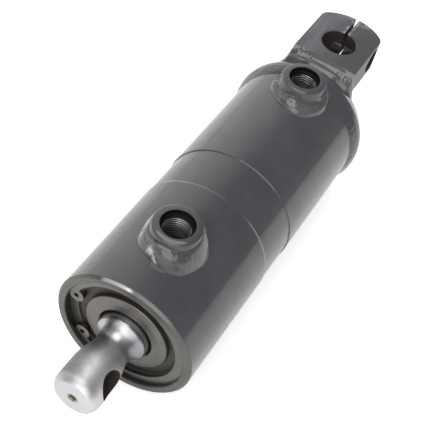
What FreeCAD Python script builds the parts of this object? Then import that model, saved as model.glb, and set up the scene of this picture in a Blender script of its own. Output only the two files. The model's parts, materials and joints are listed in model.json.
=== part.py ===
import FreeCAD, Part
import math
import os

# Double-acting hydraulic cylinder: welded barrel with two threaded port bosses, a split clamp
# lug at the rear, and a rod with a cross-drilled eye that leaves through a gland at the front.
#
# Frame, millimetres: the origin is the centre of the lug's vertical bore. +Y runs along the
# cylinder towards the lug, +Z is the lug bore's axis and the side that the ports face.
# "Station" is the distance behind the barrel's front face, along +Y.

# ---- driving dimensions ----
BARREL_R = 50.0
BORE_R = 40.0
BARREL_LENGTH = 260.0
LUG_REACH = 32.5            # end cap's rear face to the lug bore's centre
LUG_RISE = 40.0             # lug's mid-plane above the barrel axis
ROD_R = 18.0
STROKE = 120.0
PLAY = 0.3                  # gap between faces that slide or turn past each other

# barrel tube and end cap
CAP_THICK = 17.0
CAP_R = 53.0
CAP_SHOULDER = 1.0          # tube's end to the wide part of the cap
CAP_TAPER = 11.0            # length over which the cap narrows to its rear face
CAP_REAR_R = 48.0
CAP_WELD_RUN = 8.0
SPIGOT_THICK = 2.0
BAND_START = 98.0
BAND_END = 135.0
BAND_CUT = 0.7
BAND_RAMP = 2.0
RIM_CHAMFER = 1.8
GLAND_SEAT_R = 44.0
GLAND_END = 36.0

# gland and its retaining ring
CLIP_FRONT = 3.2
CLIP_THICK = 3.0
CLIP_GROOVE_R = 46.0
CLIP_OUTER_R = 45.8
CLIP_INNER_R = 38.3
CLIP_OFFSET = 1.2
CLIP_GAP_TURN = 193.0       # degrees about the barrel axis, from +X towards +Z
CLIP_EAR_SPREAD = 27.0
CLIP_EAR_R = 5.4
CLIP_EAR_PITCH_R = 39.0
CLIP_EAR_HOLE_R = 1.8
NOSE_R = 30.2
NOSE_FLAT_R = 25.8
NOSE_HOLE_R = 19.5
NOSE_GROOVE_R = 37.0        # groove round the nose, up to the land behind the circlip
NOSE_GROOVE_DEPTH = 1.5
GLAND_R = GLAND_SEAT_R - 0.05
O_RING_R = 2.4

# ports
FRONT_PORT = 48.5
REAR_PORT = 227.0
FRONT_PORT_TOP = 66.0       # height above the barrel axis
REAR_PORT_TOP = 61.5
PORT_BOSS_R = 16.5
PORT_THREAD_R = 9.32
PORT_MOUTH_R = 11.2         # plain recess above the thread
PORT_MOUTH_DEPTH = 3.0
PORT_SPIGOT_R = 12.0
PORT_SPIGOT_FOOT = 43.0
PORT_DRILL_R = 7.0

# lug
LUG_HALF_WIDTH = 26.0
LUG_HALF_THICK = 13.0
LUG_END_R = 36.0
LUG_BORE_R = 13.5
LUG_CORNER_R = 8.0
LUG_SLOT = 2.2
LUG_SLOT_LIP_R = 1.5
CLAMP_HOLE_Y = 14.0
CLAMP_HOLE_R = 6.5
CLAMP_SEAT_R = 9.5
CLAMP_SEAT_DEPTH = 11.0
CLAMP_TAPPING_R = 5.1
LUG_WELD = 5.0

# rod, piston and nut
EYE_R = 16.0
EYE_HOLE_R = 9.6
EYE_HOLE_TURN = 12.0        # the eye's hole stands this many degrees off level at rest
EYE_HOLE_STATION = -34.3
ROD_END_STATION = -53.0
SHOULDER_STATION = -26.0    # the eye's body starts to narrow
FLARE_STATION = -1.9        # the flare behind the neck reaches the rod's full radius
NECK_STATION = -8.2         # the shoulder's and the flare's lines meet here, under the neck's arc
NECK_CORNER_R = 10.7
NECK_ROUND = 12.0
PISTON_R = BORE_R - PLAY
PISTON_START = 182.0
PISTON_LENGTH = 34.0
PISTON_SEAT_R = 14.0
WASHER_THICK = 3.0
WASHER_R = 25.0
NUT_FLATS = 41.0
NUT_HEIGHT = 18.0
NUT_THREAD_R = 13.0
STOP_TUBE_R = 27.0

AXIS = FreeCAD.Vector(0, 0, -LUG_RISE)
FRONT_Y = -LUG_REACH - BARREL_LENGTH
ALONG = FreeCAD.Vector(0, 1, 0)
UP = FreeCAD.Vector(0, 0, 1)
SIDE = FreeCAD.Vector(1, 0, 0)


def at(radius, station):
    """Point beside the barrel axis, in the plane that a profile is drawn in."""
    return FreeCAD.Vector(radius, FRONT_Y + station, -LUG_RISE)


def rounding(before, corner, after, radius):
    """Start, middle and end of the arc that rounds a corner."""
    back = (before - corner).normalize()
    onward = (after - corner).normalize()
    half = back.getAngle(onward) / 2
    reach = radius / math.tan(half)
    inward = (back + onward).normalize() * (radius / math.sin(half) - radius)
    return corner + back * reach, corner + inward, corner + onward * reach


def outline(profile):
    """Closed wire through (radius, station) corners. A third number rounds that corner."""
    corners = [at(*corner[:2]) for corner in profile]
    arcs = {}
    for number, corner in enumerate(profile):
        if len(corner) == 3:
            following = corners[(number + 1) % len(corners)]
            arcs[number] = rounding(corners[number - 1], corners[number], following, corner[2])
    edges = []
    for number, corner in enumerate(corners):
        following = (number + 1) % len(corners)
        start = arcs[number][2] if number in arcs else corner
        end = arcs[following][0] if following in arcs else corners[following]
        edges.append(Part.LineSegment(start, end).toShape())
        if following in arcs:
            edges.append(Part.Arc(*arcs[following]).toShape())
    return Part.Wire(edges)


def turned(profile):
    """Solid of revolution about the barrel axis."""
    return Part.Face(outline(profile)).revolve(AXIS, ALONG, 360)


def ring(start, end, outer, inner):
    """Plain ring or sleeve about the barrel axis."""
    return turned([(outer, start), (outer, end), (inner, end), (inner, start)])


def disc(start, end, radius):
    """Plain cylinder on the barrel axis."""
    return Part.makeCylinder(radius, end - start, at(0, start), ALONG)


def upright(radius, low, high, station):
    """Cylinder square to the barrel; its heights are above the barrel axis."""
    return Part.makeCylinder(radius, high - low, at(0, station) + UP * low, UP)


def o_ring(station, inner, section_r):
    """Round-section ring about the barrel axis."""
    return Part.makeTorus(inner + section_r, section_r, at(0, station), ALONG)


def block(x, y, z):
    """Box from three (low, high) pairs in the part's frame."""
    corner = FreeCAD.Vector(x[0], y[0], z[0])
    return Part.makeBox(x[1] - x[0], y[1] - y[0], z[1] - z[0], corner)


# ---- barrel ----
CAP_START = BARREL_LENGTH - CAP_THICK
PORTS = {"front": (FRONT_PORT, FRONT_PORT_TOP), "rear": (REAR_PORT, REAR_PORT_TOP)}


def barrel_tube():
    band_r = BARREL_R - BAND_CUT
    groove_end = CLIP_FRONT + CLIP_THICK + 0.15
    tube = turned([
        (BARREL_R - RIM_CHAMFER, 0),
        (BARREL_R, RIM_CHAMFER),
        (BARREL_R, BAND_START),
        (band_r, BAND_START + BAND_RAMP),
        (band_r, BAND_END),
        (BARREL_R, BAND_END + BAND_CUT),
        (BARREL_R, CAP_START),
        (BORE_R, CAP_START),
        (BORE_R, GLAND_END),
        (GLAND_SEAT_R, GLAND_END),
        (GLAND_SEAT_R, groove_end),
        (CLIP_GROOVE_R, groove_end),
        (CLIP_GROOVE_R, CLIP_FRONT),
        (GLAND_SEAT_R, CLIP_FRONT),
        (GLAND_SEAT_R, 0.5),
        (GLAND_SEAT_R + 0.5, 0),
    ])
    for station, top in PORTS.values():
        tube = tube.cut(upright(PORT_SPIGOT_R, PORT_SPIGOT_FOOT, top, station))
        tube = tube.cut(upright(PORT_DRILL_R, 0, top, station))
    return tube


def end_cap():
    shoulder = CAP_START + CAP_SHOULDER
    return turned([
        (0, CAP_START - SPIGOT_THICK),
        (BORE_R, CAP_START - SPIGOT_THICK),
        (BORE_R, CAP_START),
        (BARREL_R, CAP_START),
        (BARREL_R, shoulder),
        (CAP_R, shoulder),
        (CAP_R, BARREL_LENGTH - CAP_TAPER, 8.0),
        (CAP_REAR_R, BARREL_LENGTH, 3.0),
        (0, BARREL_LENGTH),
    ])


def end_cap_weld():
    """Fillet weld from the tube up to the cap's wider rim, broken by the rear port's boss."""
    shoulder = CAP_START + CAP_SHOULDER
    bead = turned([
        (BARREL_R, shoulder - CAP_WELD_RUN),
        (BARREL_R + 1.9, shoulder - CAP_WELD_RUN / 2, 6.0),
        (CAP_R, shoulder),
        (BARREL_R, shoulder),
    ])
    return bead.cut(upright(PORT_BOSS_R, 0, REAR_PORT_TOP, REAR_PORT))


def port_boss(station, top):
    chamfer = 1.2
    body = upright(PORT_BOSS_R, 0, top, station).cut(disc(0, BARREL_LENGTH, BARREL_R))
    rims = [e for e in body.Edges if abs(e.BoundBox.ZMin + LUG_RISE - top) < 1e-6]
    body = body.makeChamfer(chamfer, rims)
    body = body.fuse(upright(PORT_SPIGOT_R, PORT_SPIGOT_FOOT, top - 2, station))
    body = body.cut(upright(PORT_THREAD_R, 0, top, station))
    body = body.cut(upright(PORT_MOUTH_R, top - PORT_MOUTH_DEPTH, top, station))
    lead_in = PORT_MOUTH_R - PORT_THREAD_R
    thread_start = at(0, station) + UP * (top - PORT_MOUTH_DEPTH - lead_in)
    sink = Part.makeCone(PORT_THREAD_R, PORT_MOUTH_R, lead_in, thread_start, UP)
    return body.cut(sink).removeSplitter()


def port_weld(station, top, spread, height):
    """Fillet weld round a boss, lying on the barrel."""
    foot = 40.0
    lean = spread / height
    reach = PORT_BOSS_R + lean * (BARREL_R + height - foot)
    cone = Part.makeCone(reach, PORT_BOSS_R, BARREL_R + height - foot, at(0, station) + UP * foot, UP)
    bead = cone.common(upright(PORT_BOSS_R + spread, foot, top, station))
    return bead.cut(disc(0, BARREL_LENGTH, BARREL_R)).cut(upright(PORT_BOSS_R, foot, top, station))


# ---- lug ----
LUG_FRONT = -LUG_REACH
LUG_X = (-LUG_HALF_WIDTH, LUG_HALF_WIDTH)
LUG_Z = (-LUG_HALF_THICK, LUG_HALF_THICK)
PREP_DEPTH = 6.5
PREP_DROP = 10.5


def lug_prep():
    """Wedge along the lug's upper front edge, which the weld fills."""
    corners = [
        FreeCAD.Vector(-LUG_HALF_WIDTH, LUG_FRONT, LUG_HALF_THICK),
        FreeCAD.Vector(-LUG_HALF_WIDTH, LUG_FRONT + PREP_DEPTH, LUG_HALF_THICK),
        FreeCAD.Vector(-LUG_HALF_WIDTH, LUG_FRONT, LUG_HALF_THICK - PREP_DROP),
    ]
    face = Part.Face(Part.makePolygon(corners + corners[:1]))
    return face.extrude(SIDE * 2 * LUG_HALF_WIDTH)


def upright_edges(lug, y):
    """The lug's full-height vertical edges at one distance behind its bore's centre."""
    return [e for e in lug.Edges if e.BoundBox.ZLength > LUG_HALF_THICK
            and e.BoundBox.YLength < 1e-3 and abs(e.BoundBox.YMin - y) < 1e-3]


def mounting_lug():
    mouth = 0.8
    round_end = Part.makeCylinder(LUG_END_R, 2 * LUG_HALF_THICK, FreeCAD.Vector(0, 0, -LUG_HALF_THICK))
    root = block(LUG_X, (LUG_FRONT, 0), LUG_Z)
    lug = block(LUG_X, (LUG_FRONT, LUG_END_R), LUG_Z).common(root.fuse(round_end)).removeSplitter()
    corner_y = math.sqrt(LUG_END_R ** 2 - LUG_HALF_WIDTH ** 2)
    lug = lug.makeFillet(LUG_CORNER_R, upright_edges(lug, corner_y)).cut(lug_prep())
    lug = lug.cut(Part.makeCylinder(LUG_BORE_R, 2 * LUG_HALF_THICK, FreeCAD.Vector(0, 0, -LUG_HALF_THICK)))
    for side in (-1, 1):
        face = FreeCAD.Vector(0, 0, side * LUG_HALF_THICK)
        lug = lug.cut(Part.makeCone(LUG_BORE_R + mouth, LUG_BORE_R, mouth, face, UP * -side))
    lug = lug.cut(block((-LUG_SLOT / 2, LUG_SLOT / 2), (0, LUG_END_R + 1), LUG_Z))
    slot_y = math.sqrt(LUG_END_R ** 2 - (LUG_SLOT / 2) ** 2)
    lug = lug.makeFillet(LUG_SLOT_LIP_R, upright_edges(lug, slot_y))
    return cut_clamp_hole(lug)


def cut_clamp_hole(lug):
    """Counterbore and clearance hole on the +X jaw, tapping hole through the other."""
    outer = FreeCAD.Vector(LUG_HALF_WIDTH, CLAMP_HOLE_Y, 0)
    inward = SIDE * -1
    lug = lug.cut(Part.makeCylinder(CLAMP_SEAT_R, CLAMP_SEAT_DEPTH, outer, inward))
    lug = lug.cut(Part.makeCylinder(CLAMP_HOLE_R, LUG_HALF_WIDTH, outer, inward))
    return lug.cut(Part.makeCylinder(CLAMP_TAPPING_R, 2 * LUG_HALF_WIDTH, outer, inward))


def rectangle(half_width, low, high, y):
    corners = [
        FreeCAD.Vector(-half_width, y, low),
        FreeCAD.Vector(half_width, y, low),
        FreeCAD.Vector(half_width, y, high),
        FreeCAD.Vector(-half_width, y, high),
    ]
    return Part.makePolygon(corners + corners[:1])


def lug_weld():
    """Weld round the lug's root: a filled wedge on top, fillets below and at the sides."""
    wide = rectangle(LUG_HALF_WIDTH + LUG_WELD, -LUG_HALF_THICK - LUG_WELD, LUG_HALF_THICK, LUG_FRONT)
    narrow = rectangle(LUG_HALF_WIDTH, -LUG_HALF_THICK, LUG_HALF_THICK, LUG_FRONT + LUG_WELD)
    collar = Part.makeLoft([wide, narrow], True)
    collar = collar.cut(block(LUG_X, (LUG_FRONT, LUG_FRONT + LUG_WELD), LUG_Z))
    slope = 1.5
    grown = BARREL_R + slope * PREP_DEPTH
    shed = Part.makeCone(BARREL_R, grown, PREP_DEPTH, at(0, BARREL_LENGTH), ALONG)
    return collar.fuse(lug_prep()).common(shed).removeSplitter()


# ---- gland ----
GLAND_FACE = CLIP_FRONT + CLIP_THICK
WIPER = (6.8, 11.8)
ROD_SEAL = (15.0, 22.0)
GUIDE = (25.0, 33.0)
WIPER_GROOVE_R = 24.0
ROD_SEAL_GROOVE_R = 24.0
GUIDE_GROOVE_R = 20.8
GLAND_RING = (17.0, 24.5)
GLAND_RING_R = GLAND_SEAT_R - 2 * O_RING_R
BACKUP_THICK = 1.8


def gland():
    rod_hole = ROD_R + PLAY
    groove_floor = GLAND_FACE + NOSE_GROOVE_DEPTH
    body = turned([
        (NOSE_HOLE_R + 0.4, CLIP_FRONT),
        (NOSE_FLAT_R, CLIP_FRONT),
        (NOSE_R, CLIP_FRONT + 1.0, 0.8),
        (NOSE_R, groove_floor),
        (NOSE_GROOVE_R, groove_floor),
        (NOSE_GROOVE_R, GLAND_FACE),
        (GLAND_R, GLAND_FACE),
        (GLAND_R, GLAND_RING[0]),
        (GLAND_RING_R, GLAND_RING[0]),
        (GLAND_RING_R, GLAND_RING[1]),
        (GLAND_R, GLAND_RING[1]),
        (GLAND_R, GLAND_END),
        (rod_hole, GLAND_END),
        (rod_hole, WIPER[1]),
        (WIPER_GROOVE_R, WIPER[1]),
        (WIPER_GROOVE_R, WIPER[0]),
        (NOSE_HOLE_R, WIPER[0]),
        (NOSE_HOLE_R, CLIP_FRONT + 0.4),
    ])
    body = body.cut(ring(*ROD_SEAL, ROD_SEAL_GROOVE_R, rod_hole - 1))
    return body.cut(ring(*GUIDE, GUIDE_GROOVE_R, rod_hole - 1))


def wiper_seal():
    lip = ROD_R + PLAY
    return turned([
        (WIPER_GROOVE_R, WIPER[0]),
        (WIPER_GROOVE_R, WIPER[1]),
        (ROD_R + 1.4, WIPER[1]),
        (ROD_R + 1.4, 9.0),
        (lip, 5.6),
        (lip + 0.1, 4.4),
        (ROD_R + 1.1, 6.0),
        (ROD_R + 1.4, WIPER[0]),
    ])


def rod_seal():
    start, end = ROD_SEAL
    lip = ROD_R + PLAY
    notch = 3.0
    middle = (ROD_SEAL_GROOVE_R + lip) / 2
    return turned([
        (ROD_SEAL_GROOVE_R, start + 0.4),
        (ROD_SEAL_GROOVE_R, end - 0.4),
        (middle + 1.2, end - 0.4),
        (middle, end - notch),
        (middle - 1.2, end - 0.4),
        (lip, end - 0.4),
        (lip + 0.5, end - 2),
        (lip + 0.5, start + 0.4),
    ])


def gland_circlip():
    """Internal retaining ring with two plier ears beside its gap."""
    start, end = CLIP_FRONT, CLIP_FRONT + CLIP_THICK

    def beside(turn, radius):
        angle = math.radians(turn)
        return at(0, start) + SIDE * (radius * math.cos(angle)) + UP * (radius * math.sin(angle))

    def disc_beside(turn, offset, radius):
        return Part.makeCylinder(radius, end - start, beside(turn, offset), ALONG)

    clip = disc(start, end, CLIP_OUTER_R).cut(disc_beside(CLIP_GAP_TURN, CLIP_OFFSET, CLIP_INNER_R))
    far = 2 * CLIP_OUTER_R
    edges = [beside(CLIP_GAP_TURN + side * CLIP_EAR_SPREAD, far) for side in (-1, 1)]
    gap = Part.Face(Part.makePolygon([at(0, start), edges[0], edges[1], at(0, start)]))
    clip = clip.cut(gap.extrude(ALONG * CLIP_THICK))
    seat = disc(start, end, GLAND_SEAT_R - 0.3)
    ears = [CLIP_GAP_TURN + side * CLIP_EAR_SPREAD for side in (-1, 1)]
    for turn in ears:
        clip = clip.fuse(disc_beside(turn, CLIP_EAR_PITCH_R, CLIP_EAR_R).common(seat))
    for turn in ears:
        clip = clip.cut(disc_beside(turn, CLIP_EAR_PITCH_R, CLIP_EAR_HOLE_R))
    return clip.removeSplitter()


# ---- rod and piston ----
PISTON_END = PISTON_START + PISTON_LENGTH
NUT_START = PISTON_END + WASHER_THICK
NUT_END = NUT_START + NUT_HEIGHT
ROD_TAIL = NUT_END + 3
PISTON_SEAL = (193.0, 205.0)
PISTON_SEAL_GROOVE_R = 33.0
WEAR_RINGS = {"front": (184.0, 190.0), "rear": (208.0, 214.0)}
WEAR_GROOVE_R = 36.6
STATIC_RING = 199.0
STATIC_RING_SECTION = 1.5


def piston_rod():
    centre_r = 2.6
    rod = turned([
        (0, ROD_END_STATION),
        (EYE_R - 2.6, ROD_END_STATION, 2.0),
        (EYE_R, ROD_END_STATION + 3.5, 8.0),
        (EYE_R, SHOULDER_STATION, 60.0),
        (NECK_CORNER_R, NECK_STATION, NECK_ROUND),
        (ROD_R, FLARE_STATION, 2.5),
        (ROD_R, PISTON_START),
        (PISTON_SEAT_R, PISTON_START),
        (PISTON_SEAT_R, PISTON_END),
        (NUT_THREAD_R, PISTON_END),
        (NUT_THREAD_R, ROD_TAIL - 1.5),
        (NUT_THREAD_R - 1.5, ROD_TAIL),
        (0, ROD_TAIL),
    ])
    angle = math.radians(EYE_HOLE_TURN)
    across = SIDE * math.cos(angle) + UP * math.sin(angle)
    eye = at(0, EYE_HOLE_STATION)
    rod = rod.cut(Part.makeCylinder(EYE_HOLE_R, 4 * EYE_R, eye - across * 2 * EYE_R, across))
    rod = rod.cut(disc(ROD_END_STATION, ROD_END_STATION + 5, centre_r / 2))
    sink = Part.makeCone(centre_r, 0, centre_r * 1.7, at(0, ROD_END_STATION), ALONG)
    return rod.cut(sink)


def piston():
    body = ring(PISTON_START, PISTON_END, PISTON_R, PISTON_SEAT_R)
    body = body.cut(ring(*PISTON_SEAL, BORE_R, PISTON_SEAL_GROOVE_R))
    for start, end in WEAR_RINGS.values():
        body = body.cut(ring(start, end, BORE_R, WEAR_GROOVE_R))
    half = STATIC_RING_SECTION + 0.4
    deep = PISTON_SEAT_R + 2 * STATIC_RING_SECTION
    return body.cut(ring(STATIC_RING - half, STATIC_RING + half, deep, PISTON_SEAT_R - 1))


def piston_seal():
    start, end = PISTON_SEAL
    edge = 0.8
    outer = BORE_R - PLAY
    inner = PISTON_SEAL_GROOVE_R + PLAY
    return turned([
        (inner, start + PLAY),
        (outer - edge, start + PLAY),
        (outer, start + PLAY + edge),
        (outer, end - PLAY - edge),
        (outer - edge, end - PLAY),
        (inner, end - PLAY),
    ])


def wear_ring(start, end):
    return ring(start + PLAY, end - PLAY, BORE_R - PLAY, WEAR_GROOVE_R + PLAY)


def piston_nut():
    corner_r = NUT_FLATS / math.sqrt(3)
    corners = []
    for k in range(6):
        angle = math.radians(60 * k)
        offset = SIDE * (corner_r * math.cos(angle)) + UP * (corner_r * math.sin(angle))
        corners.append(at(0, NUT_START) + offset)
    prism = Part.Face(Part.makePolygon(corners + corners[:1])).extrude(ALONG * NUT_HEIGHT)
    edge = 2.0
    turned_blank = turned([
        (0, NUT_START),
        (corner_r - edge, NUT_START),
        (corner_r, NUT_START + edge / 2),
        (corner_r, NUT_END - edge / 2),
        (corner_r - edge, NUT_END),
        (0, NUT_END),
    ])
    return prism.common(turned_blank).cut(disc(NUT_START, NUT_END, NUT_THREAD_R))


def stop_tube():
    start = GLAND_END + STROKE + 2
    return ring(start, PISTON_START, STOP_TUBE_R, ROD_R)


# ---- write every piece ----
PARTS = {
    "barrel_tube": barrel_tube(),
    "end_cap": end_cap(),
    "end_cap_weld": end_cap_weld(),
    "front_port_boss": port_boss(FRONT_PORT, FRONT_PORT_TOP),
    "rear_port_boss": port_boss(REAR_PORT, REAR_PORT_TOP),
    "front_port_weld": port_weld(FRONT_PORT, FRONT_PORT_TOP, 7.5, 11.0),
    "rear_port_weld": port_weld(REAR_PORT, REAR_PORT_TOP, 8.0, 5.0).cut(end_cap()).cut(end_cap_weld()),
    "mounting_lug": mounting_lug(),
    "lug_weld": lug_weld(),
    "gland": gland(),
    "gland_o_ring": o_ring(GLAND_RING[0] + O_RING_R, GLAND_RING_R, O_RING_R),
    "gland_backup_ring": ring(GLAND_RING[1] - BACKUP_THICK, GLAND_RING[1], GLAND_R, GLAND_RING_R),
    "gland_circlip": gland_circlip(),
    "wiper_seal": wiper_seal(),
    "rod_seal": rod_seal(),
    "rod_guide_ring": ring(*GUIDE, GUIDE_GROOVE_R, ROD_R + PLAY),
    "piston_rod": piston_rod(),
    "piston": piston(),
    "piston_seal": piston_seal(),
    "piston_wear_ring_front": wear_ring(*WEAR_RINGS["front"]),
    "piston_wear_ring_rear": wear_ring(*WEAR_RINGS["rear"]),
    "piston_o_ring": o_ring(STATIC_RING, PISTON_SEAT_R, STATIC_RING_SECTION),
    "piston_washer": ring(PISTON_END, NUT_START, WASHER_R, NUT_THREAD_R),
    "piston_nut": piston_nut(),
    "stop_tube": stop_tube(),
}

os.makedirs("parts", exist_ok=True)
for name, shape in PARTS.items():
    shape.exportStep(os.path.join("parts", name + ".step"))
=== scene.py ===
import json
import math

import bmesh
import bpy
from mathutils import Matrix, Vector, noise


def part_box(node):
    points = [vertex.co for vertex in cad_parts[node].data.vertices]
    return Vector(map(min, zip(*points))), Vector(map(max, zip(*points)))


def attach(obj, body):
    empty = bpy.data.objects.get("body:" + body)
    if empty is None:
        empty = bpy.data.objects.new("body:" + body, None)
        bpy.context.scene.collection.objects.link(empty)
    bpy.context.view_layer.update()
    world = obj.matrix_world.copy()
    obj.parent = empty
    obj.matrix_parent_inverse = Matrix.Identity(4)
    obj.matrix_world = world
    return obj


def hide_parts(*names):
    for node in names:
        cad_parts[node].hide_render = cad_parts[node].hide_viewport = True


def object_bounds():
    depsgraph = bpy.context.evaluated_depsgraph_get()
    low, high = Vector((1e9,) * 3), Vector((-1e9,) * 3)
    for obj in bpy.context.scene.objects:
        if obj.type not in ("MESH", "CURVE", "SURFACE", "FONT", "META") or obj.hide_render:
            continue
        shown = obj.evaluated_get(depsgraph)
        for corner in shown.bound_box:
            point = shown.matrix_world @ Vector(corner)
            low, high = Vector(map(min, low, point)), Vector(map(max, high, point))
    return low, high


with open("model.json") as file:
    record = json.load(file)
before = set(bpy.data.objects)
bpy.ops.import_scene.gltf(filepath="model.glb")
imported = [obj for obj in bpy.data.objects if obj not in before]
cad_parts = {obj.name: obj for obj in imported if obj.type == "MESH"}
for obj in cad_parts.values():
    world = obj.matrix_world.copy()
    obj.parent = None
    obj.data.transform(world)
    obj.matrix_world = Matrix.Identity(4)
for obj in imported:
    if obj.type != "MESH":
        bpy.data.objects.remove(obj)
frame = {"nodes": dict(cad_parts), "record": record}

# Hydraulic cylinder: painted barrel with two port bosses and a clamp lug, bare gland and chromed rod.
# Metres, in the CAD model's frame. A "station" is the distance behind the barrel's front face, and a
# "height" is measured above the barrel's axis.

CAD_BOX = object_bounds()
MM = 0.001

TUBE_LOW, TUBE_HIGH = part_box("barrel_tube")
AXIS_Z = (TUBE_LOW.z + TUBE_HIGH.z) / 2
BARREL_R = (TUBE_HIGH.z - TUBE_LOW.z) / 2
FRONT_Y = TUBE_LOW.y
CAP_LOW, CAP_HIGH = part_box("end_cap")
CAP_R = (CAP_HIGH.x - CAP_LOW.x) / 2
CAP_STATION = CAP_HIGH.y - FRONT_Y
CAP_TAPER = 11.0 * MM           # how far ahead of the cap's rear face its rim begins to narrow
CAP_REAR_R = 48.0 * MM
RIM_CHAMFER = 1.8 * MM          # on the barrel's front rim
FLOOR_Z = CAD_BOX[0].z
LUG_LOW, LUG_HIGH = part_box("mounting_lug")
MIDDLE_STATION = 0.120          # where the camera and the lights are pointed
MOUNTS = {mount["name"]: mount for mount in frame["record"]["mounts"]}


def at(x, station, height):
    """Point in the CAD model's frame."""
    return Vector((x, FRONT_Y + station, AXIS_Z + height))


def barrel_height(x, lift=0.0):
    """Height of the barrel's surface above its axis, at x."""
    return math.sqrt(max((BARREL_R + lift) ** 2 - x * x, 0.0))


def cap_height(x, station, lift=0.0):
    """Height of the end cap's tapered rim above the barrel's axis."""
    along = min(max((station - CAP_STATION + CAP_TAPER) / CAP_TAPER, 0.0), 1.0)
    radius = CAP_R + (CAP_REAR_R - CAP_R) * along + lift
    return math.sqrt(max(radius * radius - x * x, 0.0))


def wrap(angle):
    """Angle in degrees brought to -180..180."""
    return (angle + 180.0) % 360.0 - 180.0


def hump(value, middle, width):
    """Smooth bump of height 1."""
    return math.exp(-((value - middle) / width) ** 2)


def turn_hump(angle, middle, width):
    """The same round a full turn, in degrees."""
    return math.exp(-(wrap(angle - middle) / width) ** 2)


# ---- materials ----

class Shader:
    """A Principled material, with short calls for the nodes that feed it."""

    def __init__(self, name):
        self.material = bpy.data.materials.new(name)
        self.material.use_nodes = True
        self.tree = self.material.node_tree
        self.tree.nodes.clear()
        output = self.tree.nodes.new("ShaderNodeOutputMaterial")
        self.bsdf = self.tree.nodes.new("ShaderNodeBsdfPrincipled")
        self.link(self.bsdf.outputs["BSDF"], output.inputs["Surface"])
        self.place = self.tree.nodes.new("ShaderNodeTexCoord").outputs["Object"]

    def link(self, source, target):
        self.tree.links.new(source, target)

    def set(self, **values):
        """Uniform numbers of the Principled shader."""
        for name, value in values.items():
            self.bsdf.inputs[name.replace("_", " ")].default_value = value

    def feed(self, name, source):
        self.link(source, self.bsdf.inputs[name])

    def vector(self, operation, *values):
        node = self.tree.nodes.new("ShaderNodeVectorMath")
        node.operation = operation
        for socket, value in zip(node.inputs, values):
            if isinstance(value, bpy.types.NodeSocket):
                self.link(value, socket)
            else:
                socket.default_value = value
        return node.outputs

    def stretched(self, scale):
        """Place to read a noise at, so that its marks run long on the axes of small scale."""
        return self.vector("MULTIPLY", self.place, scale)["Vector"]

    def off_line(self, point, direction):
        """Distance from a straight line."""
        offset = self.vector("SUBTRACT", self.place, point)["Vector"]
        return self.vector("LENGTH", self.vector("CROSS_PRODUCT", offset, direction)["Vector"])["Value"]

    def off_mount(self, name):
        """Distance from a mount's axis."""
        mount = MOUNTS[name]
        return self.off_line(Vector(mount["pos_m"]), Vector(mount["axis"]).normalized())

    def noise(self, scale, detail=3.0, roughness=0.5, place=None):
        node = self.tree.nodes.new("ShaderNodeTexNoise")
        node.inputs["Scale"].default_value = scale
        node.inputs["Detail"].default_value = detail
        node.inputs["Roughness"].default_value = roughness
        self.link(place or self.place, node.inputs["Vector"])
        return node.outputs["Fac"]

    def math(self, operation, first, second=0.0):
        node = self.tree.nodes.new("ShaderNodeMath")
        node.operation = operation
        for socket, value in zip(node.inputs, (first, second)):
            if isinstance(value, (int, float)):
                socket.default_value = value
            else:
                self.link(value, socket)
        return node.outputs["Value"]

    def span(self, value, low, high, to_low=0.0, to_high=1.0, smooth=False):
        node = self.tree.nodes.new("ShaderNodeMapRange")
        node.interpolation_type = "SMOOTHSTEP" if smooth else "LINEAR"
        self.link(value, node.inputs["Value"])
        limits = {"From Min": low, "From Max": high, "To Min": to_low, "To Max": to_high}
        for name, number in limits.items():
            node.inputs[name].default_value = number
        return node.outputs["Result"]

    def fall(self, value, low, high):
        """1 below two limits and 0 above them."""
        return self.span(value, low, high, 1.0, 0.0)

    def times(self, first, *others):
        """Product; for masks, where all of them hold."""
        for other in others:
            first = self.math("MULTIPLY", first, other)
        return first

    def blend(self, factor, first, second):
        """Colour mix; either colour may be a value or another node's output."""
        node = self.tree.nodes.new("ShaderNodeMix")
        node.data_type = "RGBA"
        self.link(factor, node.inputs["Factor"])
        for socket, value in ((node.inputs[6], first), (node.inputs[7], second)):
            if isinstance(value, tuple):
                socket.default_value = (*value, 1.0)
            else:
                self.link(value, socket)
        return node.outputs[2]

    def blend_value(self, factor, first, second):
        node = self.tree.nodes.new("ShaderNodeMix")
        node.data_type = "FLOAT"
        self.link(factor, node.inputs["Factor"])
        for socket, value in ((node.inputs[2], first), (node.inputs[3], second)):
            if isinstance(value, (int, float)):
                socket.default_value = value
            else:
                self.link(value, socket)
        return node.outputs[0]

    def bump(self, height, distance, strength=1.0, after=None):
        node = self.tree.nodes.new("ShaderNodeBump")
        node.inputs["Distance"].default_value = distance
        node.inputs["Strength"].default_value = strength
        self.link(height, node.inputs["Height"])
        if after is not None:
            self.link(after, node.inputs["Normal"])
        return node.outputs["Normal"]

    def axes(self):
        node = self.tree.nodes.new("ShaderNodeSeparateXYZ")
        self.link(self.place, node.inputs["Vector"])
        return node.outputs["X"], node.outputs["Y"], node.outputs["Z"]

    def off_axis(self):
        """Distance from the barrel's axis."""
        return self.off_line((0.0, 0.0, AXIS_Z), (0.0, 1.0, 0.0))

    def within(self, value, low, high, soft):
        """1 between two limits and 0 outside them, with soft edges."""
        rise = self.span(value, low - soft, low + soft)
        return self.times(rise, self.fall(value, high - soft, high + soft))

    def turned_lines(self, pitch):
        """Fine grooves of a lathe, wandering slightly, along the axis and across end faces."""
        _, y, _ = self.axes()
        along = self.math("ADD", y, self.off_axis())
        along = self.math("ADD", along, self.times(self.noise(90.0, 2.0), pitch))
        return self.math("SINE", self.times(along, 2 * math.pi / pitch))


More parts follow.
